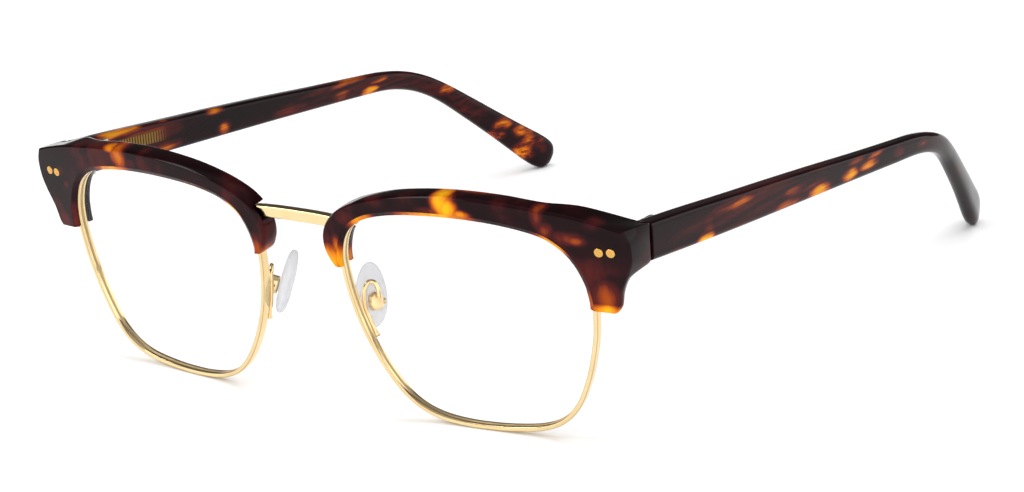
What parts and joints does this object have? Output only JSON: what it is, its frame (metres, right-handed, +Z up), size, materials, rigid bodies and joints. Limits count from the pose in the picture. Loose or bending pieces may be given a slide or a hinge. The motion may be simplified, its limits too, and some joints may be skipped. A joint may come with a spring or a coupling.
{
  "type": "browline eyeglasses",
  "caption": "Browline eyeglasses: gold metal eyewires under tortoise acetate brows, with folding acetate temples and rocking nose pads.",
  "frame": {"origin": "on the floor under the middle of the bounding box, with the temples open; the rims' bottoms and the temple tips stand on the floor", "axes": "+Z up, the lenses face -Y, the temples run towards +Y, and the part is symmetric about x = 0; right means +X"},
  "size_m": [0.14, 0.1614, 0.0468],
  "materials": {
    "acetate": "polished tortoise pattern",
    "gold": "polished pale gold plating",
    "hinge_metal": "satin",
    "clear_lens": "clear",
    "silicone": "clear, soft"
  },
  "bodies": {
    "front": {"bridge": "gold", "brow_left": "acetate", "brow_right": "acetate", "rim_left": "gold", "rim_right": "gold", "lens_left": "clear_lens", "lens_right": "clear_lens", "rivet_inner_left": "gold", "rivet_inner_right": "gold", "rivet_outer_left": "gold", "rivet_outer_right": "gold", "rim_lock_upper_left": "gold", "rim_lock_upper_right": "gold", "rim_lock_lower_left": "gold", "rim_lock_lower_right": "gold", "rim_lock_screw_left": "gold", "rim_lock_screw_right": "gold", "pad_arm_left": "gold", "pad_arm_right": "gold", "pad_box_left": "gold", "pad_box_right": "gold", "pad_screw_left": "gold", "pad_screw_right": "gold", "hinge_front_leaf_left": "hinge_metal", "hinge_front_leaf_right": "hinge_metal", "hinge_screw_left": "hinge_metal", "hinge_screw_right": "hinge_metal"},
    "temple_body_left": {"temple_left": "acetate", "core_wire_left": "gold", "hinge_temple_leaf_left": "hinge_metal"},
    "temple_body_right": {"temple_right": "acetate", "core_wire_right": "gold", "hinge_temple_leaf_right": "hinge_metal"},
    "pad_body_left": {"nose_pad_left": "silicone"},
    "pad_body_right": {"nose_pad_right": "silicone"}
  },
  "joints": [
    {"name": "temple_hinge_left", "type": "hinge", "parent": "front", "child": "temple_body_left", "pos_m": [-0.0639, -0.06504, 0.038], "axis": [0, 0, -1], "range_deg": [0, 89]},
    {"name": "temple_hinge_right", "type": "hinge", "parent": "front", "child": "temple_body_right", "pos_m": [0.0639, -0.06504, 0.038], "axis": [0, 0, 1], "range_deg": [0, 78]},
    {"name": "pad_rock_left", "type": "hinge", "parent": "front", "child": "pad_body_left", "pos_m": [-0.01203, -0.0719, 0.02139], "axis": [-0.491, 0.8563, -0.1602], "range_deg": [-8, 8]},
    {"name": "pad_rock_right", "type": "hinge", "parent": "front", "child": "pad_body_right", "pos_m": [0.01203, -0.0719, 0.02139], "axis": [0.491, 0.8563, -0.1602], "range_deg": [-8, 8]}
  ]
}
